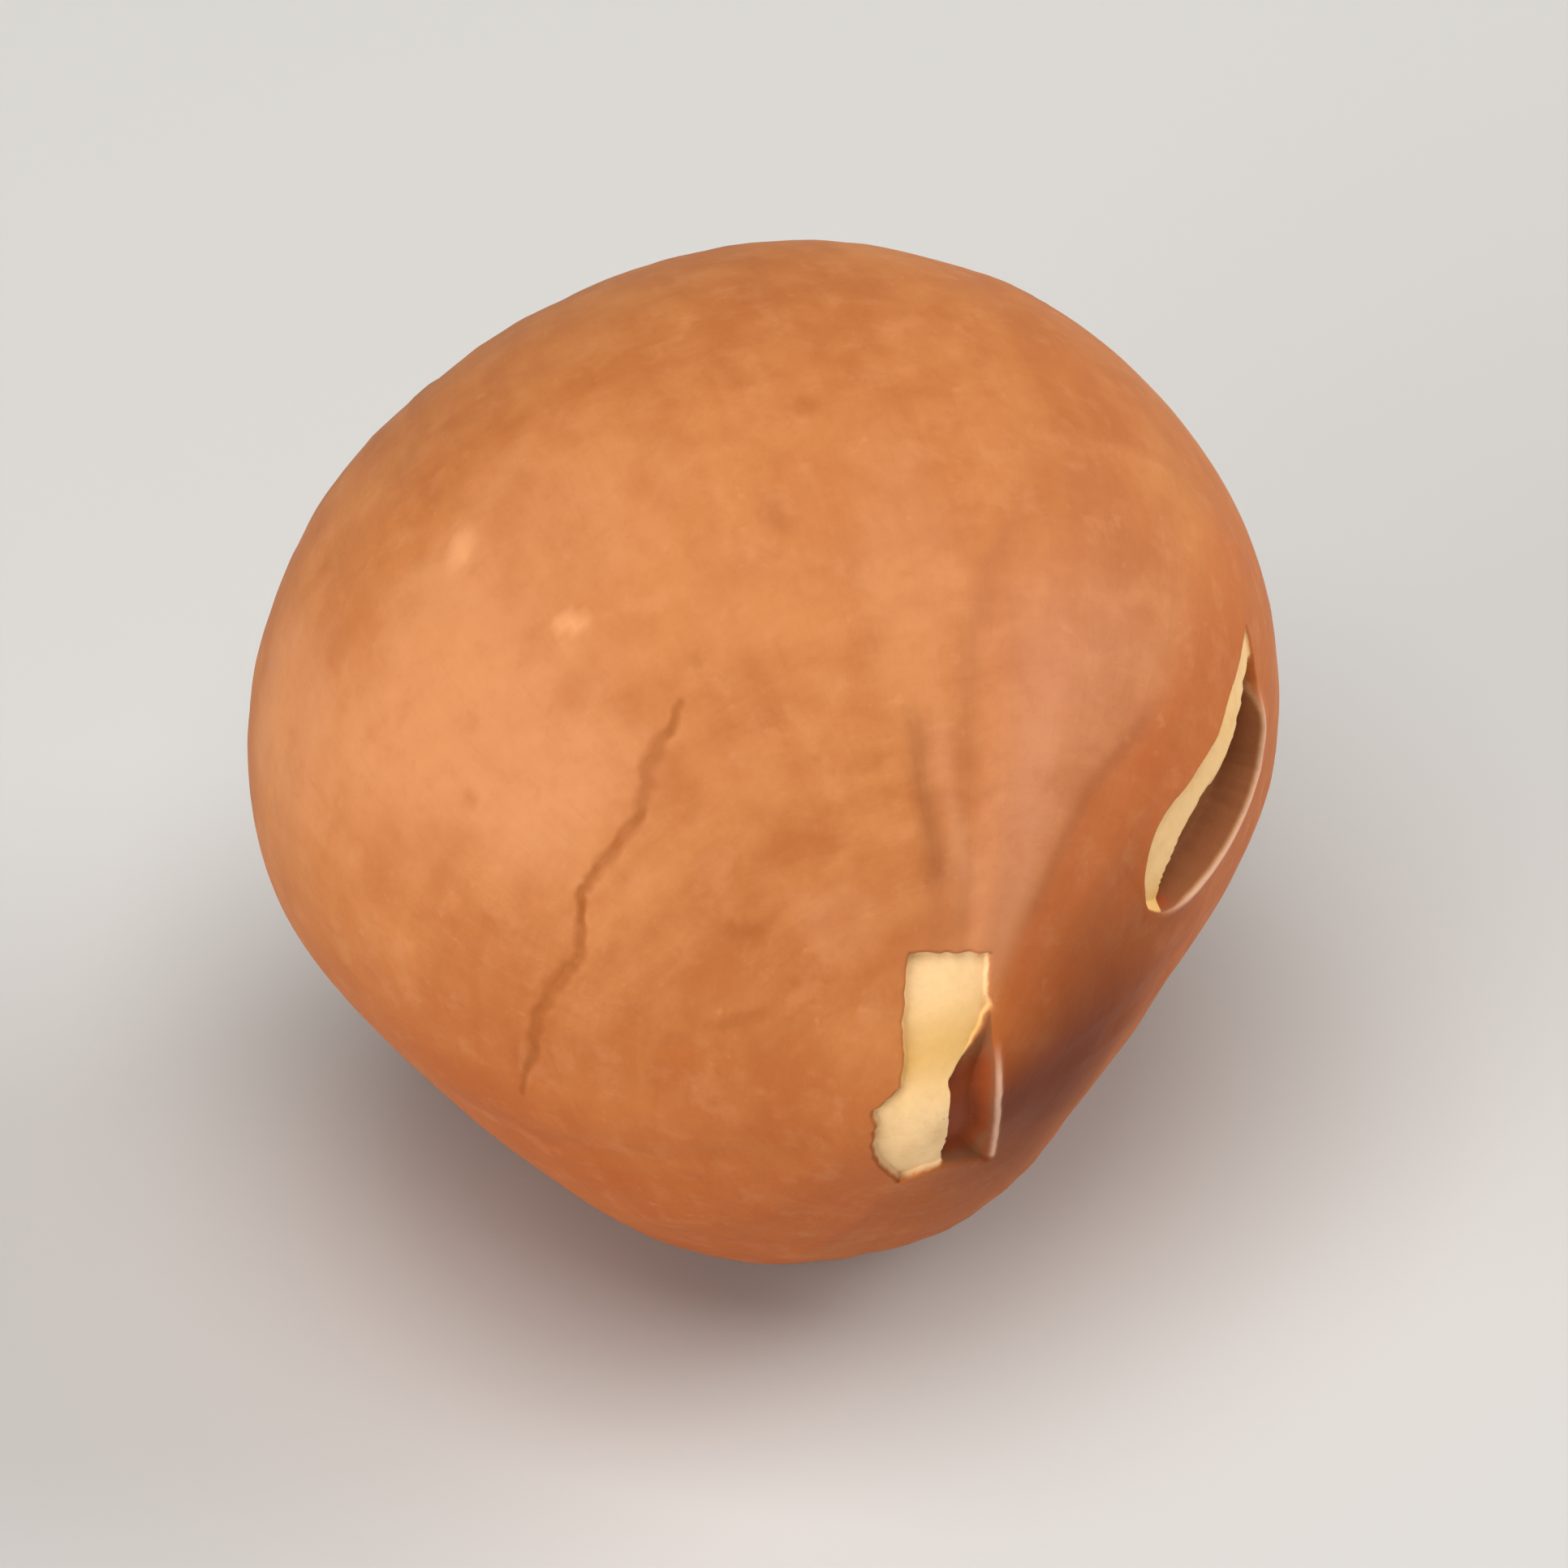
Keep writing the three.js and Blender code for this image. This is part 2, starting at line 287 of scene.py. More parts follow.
def long_section():
    """Length along the half outline from the base to the tip, with the radius and axial place at each."""
    lean = math.radians(NECK_LEAN)
    out, back = math.sin(lean), math.cos(lean)
    wide, neck = WIDEST_RADIUS, NECK_RADIUS
    rear_start = ((0, BASE_AT), (BASE_FULLNESS * wide, BASE_AT))
    rear = cubic((*rear_start, (wide, REAR_FULLNESS * BASE_AT), (wide, 0)), SECTION_POINTS)
    front_end = ((neck + NECK_REACH * out, NECK_AT - NECK_REACH * back), (neck, NECK_AT))
    front = cubic(((wide, 0), (wide, FRONT_FULLNESS * NECK_AT), *front_end), SECTION_POINTS)
    nose_start = ((neck, NECK_AT), (neck - NOSE_REACH * out, NECK_AT + NOSE_REACH * back))
    nose = cubic((*nose_start, (TIP_BLUNTNESS, TIP_AT), (0, TIP_AT)), NOSE_POINTS)
    line = np.vstack((rear, front[1:], nose[1:]))
    return length_passed(line), line[:, 0], line[:, 1]


LENGTH, RADIUS, AXIAL = long_section()
SPLIT_OUTLINE = np.vstack([quadratic(curve, SPLIT_CURVE_POINTS) for curve in SPLIT_CURVES])


def seat_axes(seat):
    """Middle of an opening and its directions: around the axis, to the tip and outward."""
    around, lean, far = math.radians(seat["around"]), math.radians(seat["lean"]), seat["radius"]
    right, up, level = math.cos(around), math.sin(around), math.cos(lean)
    outward = np.array((level * right, -math.sin(lean), level * up))
    sideways = np.array((-up, 0.0, right))
    middle = np.array((far * right, -seat["axial"], far * up))
    return middle, sideways, np.cross(outward, sideways), outward


def on_seat(seat, points):
    """Places of points on the plane of an opening, and a mask of those on its side of the kernel."""
    middle, sideways, tipward, outward = seat_axes(seat)
    away = points - middle
    return np.stack((away @ sideways, away @ tipward), axis=1), away @ outward > -SEAT_DEPTH


def line_distance(flat, route):
    """Distance of flat points from an open route, the share of its length there, and the side."""
    route = np.array(route, float)
    spans = np.hypot(*np.diff(route, axis=0).T)
    passed = length_passed(route)
    best = np.full(len(flat), FAR_AWAY)
    share, side = np.zeros(len(flat)), np.zeros(len(flat))
    for i, span in enumerate(spans):
        step = route[i + 1] - route[i]
        away = flat - route[i]
        along = np.clip(away @ step / span**2, 0.0, 1.0)
        off = away - along[:, None] * step
        gap = np.hypot(off[:, 0], off[:, 1])
        near = gap < best
        best = np.where(near, gap, best)
        share = np.where(near, (passed[i] + along * span) / passed[-1], share)
        side = np.where(near, np.sign(step[0] * away[:, 1] - step[1] * away[:, 0]), side)
    return best, share, side


def outline_depth(flat, outline):
    """Signed distance of flat points from a closed outline, positive inside it."""
    outline = np.array(outline, float)
    closed = np.vstack((outline, outline[:1]))
    gap = line_distance(flat, closed)[0]
    inside = np.zeros(len(flat), bool)
    for (x0, y0), (x1, y1) in zip(closed[:-1], closed[1:]):
        crosses = (y0 > flat[:, 1]) != (y1 > flat[:, 1])
        rise = y1 - y0 if y1 != y0 else 1e-9
        inside ^= crosses & (flat[:, 0] < (x1 - x0) * (flat[:, 1] - y0) / rise + x0)
    return np.where(inside, gap, -gap)


def torn_depth(flat, here, outline, ragged):
    """Depth inside a ragged outline, on its own side of the kernel."""
    return np.where(here, outline_depth(flat, outline) + ragged, FAR_OUTSIDE)


def jagged(route, reach, seed):
    """A route with its spans broken into short zigzags."""
    draw = np.random.default_rng(seed)
    route = np.array(route, float)
    points = [route[0]]
    for start, end in zip(route[:-1], route[1:]):
        across = np.array((start[1] - end[1], end[0] - start[0]))
        across /= np.hypot(*across)
        for share in (0.25, 0.5, 0.75):
            points.append(start + share * (end - start) + across * draw.uniform(-reach, reach))
        points.append(end)
    return np.array(points)


CRACK_LINE = jagged([point[:2] for point in CRACK_ROUTE], CRACK_ZIGZAG, SEEDS["crack_line"])


def relief(sizes, axial, radius, around):
    """How far the skin stands out from the smooth form, as on the solid."""
    turn = np.radians(around)
    gathered = smooth(-4.0, 5.5, axial) * smooth(1.6, 4.2, radius)
    fine = np.cos(FINE_RIBS * turn + 1.3 * np.sin(2 * turn))
    coarse = np.cos(COARSE_RIBS * turn + 0.8)
    height = MM_PER_METRE * sizes.rib_height * (0.6 * fine + 0.4 * coarse) * gathered
    height = height + MM_PER_METRE * sizes.lobe_rise * lobe_share(axial, radius, around)
    run = smooth(1.5, 5.0, axial) * smooth(1.5, 2.4, radius)
    for at, depth, width in CREASES:
        height = height - depth * bump(turn_between(around, at), width) * run
    rim = bump(radius - SCAR_RADIUS, 0.5) * smooth(-3.0, -5.5, axial)
    return height + SCAR_RIM * rim


def lobe_share(axial, radius, around):
    """1 on the raised lobe right of the creases, 0 off it."""
    turn = around % 360.0
    across = smooth(LOBE_FROM - 18, LOBE_FROM + 10, turn)
    across = across * (1.0 - smooth(LOBE_TO - 4, LOBE_TO + 3, turn))
    return across * smooth(0.0, 4.0, axial) * smooth(1.6, 3.2, radius)


def kernel_form(sizes, length, around):
    """Points of the solid's form at lengths along its long section and turns around its axis."""
    radius, axial = np.interp(length, LENGTH, RADIUS), np.interp(length, LENGTH, AXIAL)
    turn = np.radians(around)
    oval = OVAL_SHARE * np.cos(2 * (turn - math.radians(OVAL_AROUND)))
    triangle = TRIANGLE_SHARE * np.cos(3 * (turn - math.radians(TRIANGLE_AROUND)))
    reach = radius * (1.0 + oval + triangle)
    points = np.stack((reach * np.cos(turn), -axial, reach * np.sin(turn)), axis=1)
    for cheek in CHEEKS:
        from_tip, cheek_turn = math.radians(cheek["from_tip"]), math.radians(cheek["around"])
        out = math.sin(from_tip)
        sides = out * math.cos(cheek_turn), out * math.sin(cheek_turn)
        square = np.array((sides[0], -math.cos(from_tip), sides[1]))
        beyond = points @ square - cheek["distance"]
        press = 0.5 * CHEEK_PRESS * (beyond + np.hypot(beyond, CHEEK_SOFTNESS))
        points = points - press[:, None] * square
    outward = points * np.array((1.0, 0.6, 1.0))
    outward /= np.linalg.norm(outward, axis=1)[:, None]
    points = points + outward * relief(sizes, axial, radius, around)[:, None]
    return points, axial, radius


def ring_lengths():
    """Lengths along the long section where the rings lie, closest together on the nose."""
    total, rings, at = LENGTH[-1], [], 0.0
    while True:
        axial = np.interp(at, LENGTH, AXIAL)
        step = RING_SPACING - FRONT_CLOSER * smooth(-2.0, 2.0, axial)
        at += step - NOSE_CLOSER * smooth(5.6, 6.6, axial)
        if at > total - 0.03:
            return np.array(rings)
        rings.append(at)


def kernel_grid():
    """A closed grid on a plan cylinder: the height on it is the length along the section."""
    plan = bmesh.new()
    turns = 2.0 * math.pi * np.arange(COLUMNS) / COLUMNS
    base = plan.verts.new((0.0, 0.0, 0.0))
    circle = [(math.cos(turn), math.sin(turn)) for turn in turns]
    rings = [[plan.verts.new((x, y, at)) for x, y in circle] for at in ring_lengths()]
    tip = plan.verts.new((0.0, 0.0, LENGTH[-1]))
    for i in range(COLUMNS):
        j = (i + 1) % COLUMNS
        plan.faces.new((base, rings[0][i], rings[0][j]))
        for low, high in zip(rings[:-1], rings[1:]):
            plan.faces.new((low[i], high[i], high[j], low[j]))
        plan.faces.new((rings[-1][i], tip, rings[-1][j]))
    return plan


def read_plan(places):
    """Length along the section and turn around the axis of places on the plan cylinder."""
    return places[:, 2], np.degrees(np.arctan2(places[:, 1], places[:, 0]))


def refine(plan, sizes, measure, reach):
    """Quarters the grid's faces that lie within reach of an opening."""
    faces = [face for face in plan.faces if len(face.verts) == 4]
    middles = np.array([face.calc_center_median() for face in faces])
    points = kernel_form(sizes, *read_plan(middles))[0]
    near = measure(points) < reach
    edges = {edge for face, chosen in zip(faces, near) if chosen for edge in face.edges}
    bmesh.ops.subdivide_edges(plan, edges=list(edges), cuts=1, use_grid_fill=True)


def crack_reach(points):
    flat, here = on_seat(CRACK_SEAT, points)
    return np.where(here, line_distance(flat, CRACK_LINE)[0], FAR_AWAY)


def split_face_reach(points):
    flat, here = on_seat(SPLIT_SEAT, points)
    return np.where(here, -outline_depth(flat, SPLIT_OUTLINE), FAR_AWAY)


def split_reach(points):
    return np.abs(split_face_reach(points))


def tip_reach(points):
    flat = points[:, (0, 2)]
    edges = [np.abs(outline_depth(flat, outline)) for outline in (CHIP_OUTLINE, HOLLOW_OUTLINE)]
    return np.where(points[:, 1] < -TIP_FROM, np.minimum(*edges), FAR_AWAY)


# Where the grid is made finer, in order: the measure of nearness and how near, in millimetres.
FINER_GRID = (
    (split_face_reach, 0.55),
    (split_reach, 0.22),
    (split_reach, 0.13),
    (crack_reach, 0.45),
    (crack_reach, 0.22),
    (tip_reach, 0.10),
)


def kernel_plan(sizes):
    """The plan grid, finer at the openings, as a mesh."""
    plan = kernel_grid()
    for measure, reach in FINER_GRID:
        refine(plan, sizes, measure, reach)
    wide = [face for face in plan.faces if len(face.verts) > 4]
    bmesh.ops.triangulate(plan, faces=wide)
    mesh = bpy.data.meshes.new("kernel_skin")
    plan.to_mesh(mesh)
    plan.free()
    return mesh


class SkinSurface:
    """Works out the fine heights of the kernel's surface and the masks that its material reads."""

    def __init__(self, sizes, points, axial, radius, around):
        self.sizes, self.points = sizes, points
        self.axial, self.radius, self.around = axial, radius, around % 360.0
        self.turn = np.radians(around)
        self.height = np.zeros(len(points))
        self.masks = {}

    def along_axis(self, across, along):
        """Coordinates for noise that is drawn out along the axis."""
        sides = np.cos(self.turn) * across, np.sin(self.turn) * across
        return np.stack((*sides, self.axial * along), axis=1)

    def add_growth(self):
        """Broad dents and swellings, and wrinkles that run from the base to the tip."""
        broad, fold, hair = SeededNoise("lumps"), SeededNoise("folds"), SeededNoise("hairs")
        lumps = MM_PER_METRE * self.sizes.lump_height
        self.height += lumps * broad.layered(self.points * 0.23 + 4.0, 3)
        folds = MM_PER_METRE * self.sizes.wrinkle_height
        gathered = 0.7 + 0.3 * smooth(-1.0, 4.0, self.axial)
        calm = smooth(1.4, 4.4, self.radius)
        self.height += folds * gathered * calm * fold.layered(self.along_axis(7.5, 0.28), 2)
        self.height += 0.45 * folds * gathered * calm * hair.layered(self.along_axis(20.0, 0.45), 2)

    def add_pits(self):
        """Shallow pinprick dimples scattered over the skin."""
        draw = np.random.default_rng(SEEDS["pits"])
        aim = draw.normal(size=(PIT_COUNT, 3))
        aim /= np.linalg.norm(aim, axis=1)[:, None]
        size = draw.uniform(*PIT_WIDTHS, PIT_COUNT)
        depth = draw.uniform(*PIT_DEPTHS, PIT_COUNT)
        direction = self.points / np.linalg.norm(self.points, axis=1)[:, None]
        for towards, width, deep in zip(aim, size, depth):
            away = PIT_RADIUS * np.arccos(np.clip(direction @ towards, -1.0, 1.0))
            self.height -= deep * bump(away, width)

    def add_scar(self):
        """The rough round scar at the base, with the veins that start from it."""
        rough, edge = SeededNoise("scar"), SeededNoise("scar_edge")
        flat = np.stack((self.points[:, 0], self.points[:, 2], 0.0 * self.turn), axis=1)
        wander = edge.layered(self.along_axis(2.2, 0.0), 2) + 0.4 * edge.layered(flat * 2.3, 3)
        rear = smooth(-3.6, -4.6, self.axial)
        past_rim = self.radius - SCAR_RADIUS - SCAR_WANDER * wander
        scar = smooth(0.16, -0.14, past_rim) * rear
        fibre = rough.layered(self.along_axis(7.0, 0.0) + flat * 0.5, 3) * smooth(0.5, 1.6, self.radius)
        grain = rough.layered(flat * 2.4 + 9.0, 4)
        self.height += scar * (SCAR_FIBRE * fibre + SCAR_GRAIN * grain - SCAR_SINK)
        self.height += SCAR_LIP * bump(past_rim - 0.12, 0.14) * rear
        self.height -= SCAR_DIMPLE * bump(self.radius, 0.7) * rear
        vein = self.veins() * smooth(1.4, 2.8, self.radius) * smooth(3.0, -3.5, self.axial)
        vein *= np.clip(0.75 + 0.6 * rough.layered(self.points * 0.45 + 3.0, 2), 0.1, 1.2)
        self.height += VEIN_HEIGHT * vein
        self.masks["scar"] = scar
        self.masks["scar_rim"] = bump(past_rim - 0.02, 0.11) * rear
        self.masks["vein"] = np.clip(vein, 0.0, 1.0)

    def veins(self):
        """Fine winding lines along the axis, of uneven strength and width."""
        vein = np.zeros(len(self.turn))
        for k in range(VEIN_COUNT):
            at = 360.0 / VEIN_COUNT * k + 9.0 * math.sin(2.7 * k)
            lean = 6.0 * np.sin(0.55 * self.axial + 1.9 * k)
            lean += 2.0 * np.sin(1.7 * self.axial + 0.7 * k)
            strength, width = 0.65 + 0.35 * math.sin(4.1 * k), 1.3 + 0.5 * math.sin(1.3 * k)
            vein += strength * bump(turn_between(self.around, at + lean), width)
        return vein

    def add_split(self):
        """The split beside the nose: cream flesh, then a gap under a lifted lip on its right, darkened with
        painted shade; the lip's edge gets a painted highlight.
        """
        flat, here = on_seat(SPLIT_SEAT, self.points)
        ragged = SeededNoise("split_edge").layered(self.points * 2.4, 2)
        depth = torn_depth(flat, here, SPLIT_OUTLINE, SPLIT_RAGGED * ragged)
        skin = MM_PER_METRE * self.sizes.skin_thickness
        tipward, around = np.array(GAP_EDGE).T
        into_gap = np.interp(flat[:, 1], tipward, around) - flat[:, 0] + 0.025 * ragged
        lip_side = smooth(0.10, -0.35, flat[:, 0])
        cut_share = smooth(-0.03, 0.03, depth)
        open_share = smooth(-0.03, 0.03 + 0.12 * lip_side, depth)
        grain = SeededNoise("split_flesh").layered(self.points * 3.0, 2)
        flesh_sunk = 0.18 + 0.27 * smooth(-0.6, 1.0, flat[:, 1])
        sunk = skin * (flesh_sunk + 1.5 * smooth(-0.05, 0.14, into_gap))
        self.height -= open_share * (sunk + 0.010 * grain)
        outside = np.clip(-depth, 0.0, None)
        ends = smooth(-2.0, -1.2, flat[:, 1]) * smooth(2.1, 1.3, flat[:, 1])
        lift = lip_side * ends * here
        self.height += (1.0 - open_share) * lift * SPLIT_LIP_LIFT * bump(outside, 0.35)
        self.height += (1.0 - open_share) * here * TORN_EDGE_LIFT * bump(outside, 0.2)
        self.masks["split"] = np.clip(depth, -1.0, 1.0)
        # Painted shade in the gap: darkest towards the tip end and next to the flesh.
        shaded = smooth(-0.9, 0.9, flat[:, 1]) * smooth(0.62, 0.10, into_gap)
        self.masks["gap"] = cut_share * smooth(-0.03, 0.05, into_gap) * (0.5 + 0.5 * shaded)
        # Painted highlight along the lifted lip's edge.
        self.masks["lip"] = lift * bump(depth + 0.03, 0.06)
        self.masks["yolk"] = 0.35 * smooth(-0.1, 0.0, depth)

    def add_tip(self):
        """The chip over the tip, and the hollow beside it under a thin lifted edge of skin, darkened with
        painted shade; that edge gets a painted highlight.
        """
        here = self.axial > TIP_FROM
        flat = self.points[:, (0, 2)]
        ragged = SeededNoise("tip_edge").layered(self.points * 5.0, 2)
        chip = torn_depth(flat, here, CHIP_OUTLINE, CHIP_RAGGED * ragged)
        hollow = torn_depth(flat, here, HOLLOW_OUTLINE, HOLLOW_RAGGED * ragged)
        skin = MM_PER_METRE * self.sizes.skin_thickness
        grain = SeededNoise("tip_flesh").layered(self.points * 2.5, 2)
        chip_share = smooth(-0.025, 0.025, chip)
        low_end = smooth(-0.7, -1.25, flat[:, 1])
        hollow_share = smooth(-0.02, 0.11 + 0.25 * low_end, hollow)
        grown = relief(self.sizes, self.axial, self.radius, self.around)
        self.height -= chip_share * (grown + 0.5 * skin + 0.012 * grain)
        self.height -= (1.0 - chip_share) * hollow_share * HOLLOW_DEPTH * smooth(1.3, 0.4, flat[:, 1])
        right_side = smooth(0.50, 0.66, flat[:, 0]) * smooth(1.1, 0.8, flat[:, 1]) * here
        rim = bump(hollow + 0.035, 0.035) * right_side
        rim *= smooth(1.05, 0.35, flat[:, 1]) * smooth(-1.58, -1.40, flat[:, 1])
        self.height += HOLLOW_RIM_LIFT * bump(hollow + 0.05, 0.06) * right_side
        self.masks["chip"] = np.clip(chip, -1.0, 1.0)
        self.masks["yolk"] = np.maximum(self.masks["yolk"], bump(flat[:, 1] - 1.05, 0.55) * here)
        # Painted shade in the hollow: darker farther inside its outline and lower down.
        deep = smooth(-0.01, 0.035 + 0.22 * low_end, hollow) * (1.0 - chip_share)
        deep *= 0.35 + 0.65 * smooth(1.2, 0.5, flat[:, 1])
        self.masks["gap"] = np.maximum(self.masks["gap"], deep)
        # Painted highlight along the thin lifted edge right of the hollow.
        self.masks["lip"] = np.maximum(self.masks["lip"], (1.0 - chip_share) * rim)

    def add_crack(self):
        """The hairline crack across the left flank: shallow and brown, of uneven width."""
        flat, here = on_seat(CRACK_SEAT, self.points)
        gap, share, side = line_distance(flat, CRACK_LINE)
        gap = np.where(here, gap, -FAR_OUTSIDE)
        route = np.array(CRACK_ROUTE)
        passed = length_passed(route[:, :2])
        wander = SeededNoise("crack_edge").layered(self.points * 4.0, 2)
        half = 0.5 * np.interp(share, passed / passed[-1], route[:, 2]) * (1.0 + 0.30 * wander)
        half *= self.sizes.crack_width / CRACK_NOMINAL_WIDTH
        narrow = smooth(0.11, 0.06, half) * smooth(0.0, 0.1, share) * smooth(1.0, 0.85, share)
        body = np.clip(1.35 - gap / half, 0.0, 1.0)
        self.height -= MM_PER_METRE * self.sizes.crack_depth * (0.45 + 0.55 * narrow) * body
        ends = smooth(0.0, 0.15, share) * smooth(1.0, 0.8, share)
        self.height += CRACK_STEP * side * bump(gap, 0.5) * ends
        self.masks["crack"] = body * (0.62 + 0.38 * narrow)

    def add_sharp_crease(self):
        """The sharp crease above the chip, with a low ridge on its right that gets a painted highlight."""
        axial = np.array(CREASE_LINE)[:, 0]
        gap = self.off_line(CREASE_LINE)
        run = smooth(axial[0] - 0.2, axial[1], self.axial) * smooth(axial[-1], axial[-2], self.axial)
        ridge = bump(gap + RIDGE_AWAY, 0.17)
        self.height += run * (RIDGE_HEIGHT * ridge - CREASE_DEPTH * bump(gap, 0.12))
        self.masks["crease"] = run * bump(gap, 0.15)
        # Painted highlight along the low ridge, carried by the pink layer.
        self.masks["lobe"] = 0.5 * run * bump(gap + RIDGE_AWAY, 0.16)

    def off_line(self, line):
        """How far round the axis the skin lies past a line, in millimetres."""
        at = np.interp(self.axial, *np.array(line).T)
        return self.radius * np.radians(turn_between(self.around, at))

    def marks(self, places):
        """Soft oval marks at the given places."""
        mark = np.zeros(len(self.turn))
        wander = 0.16 * SeededNoise("marks").layered(self.points * 1.7, 3)
        for axial, around, wide, high, tilt in places:
            length = np.interp(axial, AXIAL, LENGTH)
            spot = kernel_form(self.sizes, np.array((length,)), np.array((around,)))[0][0]
            turn, lean = math.radians(around), math.radians(tilt)
            sideways = np.array((-math.sin(turn), 0.0, math.cos(turn)))
            tipward = np.cross(spot / np.linalg.norm(spot), sideways)
            away = self.points - spot
            across = away @ (math.cos(lean) * sideways + math.sin(lean) * tipward) / wide
            along = away @ (math.cos(lean) * tipward - math.sin(lean) * sideways) / high
            near = (away**2).sum(axis=1) < (2.0 * max(wide, high)) ** 2
            mark = np.maximum(mark, smooth(1.35, 0.45, np.hypot(across, along) + wander) * near)
        return mark

    def add_colour_masks(self):
        """Where the skin is pinkish, reddish, pale or marked, and where painted shade, shadow, sheen and
        glints lie on it.
        """
        # Pink over the lobe, strongest along its crest: partly the skin's own pinker colour, partly painted
        # sheen.
        off_crest = self.off_line(CREST_LINE)
        crest_pink_and_sheen = bump(off_crest, 0.80 + 0.35 * smooth(5.6, 4.0, self.axial))
        crest_pink_and_sheen *= smooth(2.6, 4.7, self.axial) * smooth(1.4, 2.2, self.radius)
        lobe = lobe_share(self.axial, self.radius, self.around) * smooth(2.4, 4.2, self.axial)
        # A painted shadow line along the near edge of the lobe, drawn in the crease colour.
        lobe_edge_shadow = bump(self.off_line(LOBE_EDGE), 0.20)
        lobe_edge_shadow *= smooth(2.2, 3.2, self.axial) * smooth(5.7, 5.2, self.axial)
        self.masks["crease"] = np.maximum(self.masks["crease"], 0.45 * lobe_edge_shadow)
        self.masks["lobe"] = np.clip(self.masks["lobe"] + 0.35 * lobe + 0.50 * crest_pink_and_sheen, 0.0, 1.0)
        x, y, z = self.points.T
        # Reddish layer, partly the skin's own redder colour and partly painted shade: it darkens the
        # underside and the right flank past the reddish edge.
        under = smooth(-1.5, -6.0, z + 0.45 * y + 0.36 * x)
        past_edge = turn_between(self.around, np.interp(self.axial, *np.array(RUDDY_EDGE).T))
        flank = smooth(4.0, -6.0, past_edge) * smooth(-110.0, -60.0, past_edge)
        flank *= smooth(-3.0, 4.6, self.axial)
        self.masks["ruddy_and_shade"] = np.clip(0.85 * under + 0.85 * flank, 0.0, 1.0)
        # Painted shadow on the skin right of and below the tip. The same mask also holds a faint dark line
        # along the edge of the reddish skin.
        tip_shadow = bump(turn_between(self.around, -20.0), 55.0) * smooth(4.7, 6.7, self.axial)
        far_edge = bump(self.off_line(RUDDY_EDGE) + 0.10, 0.15) * smooth(4.2, 5.0, self.axial)
        self.masks["tip_shadow"] = np.maximum(tip_shadow, 0.28 * far_edge * smooth(6.9, 6.3, self.axial))
        # Pale patches, partly painted sheen.
        self.masks["pale"] = np.maximum(self.marks(PALE_AND_SHEEN_PATCHES), 0.55 * self.marks(FADED_PATCHES))
        # Painted glints.
        self.masks["glint"] = self.marks(PAINTED_GLINTS)
        self.masks["fleck"] = self.marks(BROWN_FLECKS)

    def build(self):
        self.add_growth()
        self.add_pits()
        self.add_scar()
        self.add_split()
        self.add_tip()
        self.add_crack()
        self.add_sharp_crease()
        self.add_colour_masks()


def arithmetic(operation):
    """One operator on a wire and its reflected form, as a Math node."""
    def plain(self, other):
        return self.sheet.add("ShaderNodeMath", {"operation": operation}, {0: self, 1: other})

    def reflected(self, other):
        return self.sheet.add("ShaderNodeMath", {"operation": operation}, {0: other, 1: self})
    return plain, reflected


class Wire:
    """A value in a material: arithmetic on it adds Math nodes."""

    def __init__(self, sheet, socket):
        self.sheet, self.socket = sheet, socket

    __add__, __radd__ = arithmetic("ADD")
    __sub__, __rsub__ = arithmetic("SUBTRACT")
    __mul__, __rmul__ = arithmetic("MULTIPLY")
    __truediv__, __rtruediv__ = arithmetic("DIVIDE")
    __pow__, __rpow__ = arithmetic("POWER")


class MaterialSheet:
    """The node sheet of one material."""

    def __init__(self, name):
        self.material = bpy.data.materials.new(name)
        self.material.use_nodes = True
        self.tree = self.material.node_tree
        self.tree.nodes.clear()

    def add(self, kind, settings, inputs, out=0):
        """Adds a node: its settings first, then the values or wires of its sockets."""
        node = self.tree.nodes.new(kind)
        for name, value in settings.items():
            setattr(node, name, value)
        for name, value in inputs.items():
            socket = node.inputs[name]
            if isinstance(value, Wire):
                self.tree.links.new(value.socket, socket)
            else:
                socket.default_value = value
        return Wire(self, node.outputs[out])

    def mask(self, name):
        return self.add("ShaderNodeAttribute", {"attribute_name": name}, {}, out="Fac")

    def rise(self, value, start, end):
        """0 at start, 1 at end, with an S-shaped rise."""
        settings = {"interpolation_type": "SMOOTHSTEP"}
        return self.add("ShaderNodeMapRange", settings, {0: value, 1: start, 2: end, 3: 0.0, 4: 1.0})

    def blend(self, share, below, above):
        """Mixes two colours."""
        settings = {"data_type": "RGBA", "blend_type": "MIX"}
        below, above = (c if isinstance(c, Wire) else (*c, 1.0) for c in (below, above))
        return self.add("ShaderNodeMix", settings, {0: share, 6: below, 7: above}, out=2)

    def noise(self, vector, scale, detail, roughness=0.5, distortion=0.0):
        """Noise about 0.5."""
        inputs = {"Vector": vector, "Scale": scale, "Detail": detail}
        inputs.update({"Roughness": roughness, "Distortion": distortion})
        return self.add("ShaderNodeTexNoise", {"noise_dimensions": "3D"}, inputs)

    def finish(self, shader):
        node = self.tree.nodes.new("ShaderNodeOutputMaterial")
        self.tree.links.new(shader.socket, node.inputs["Surface"])
        return self.material


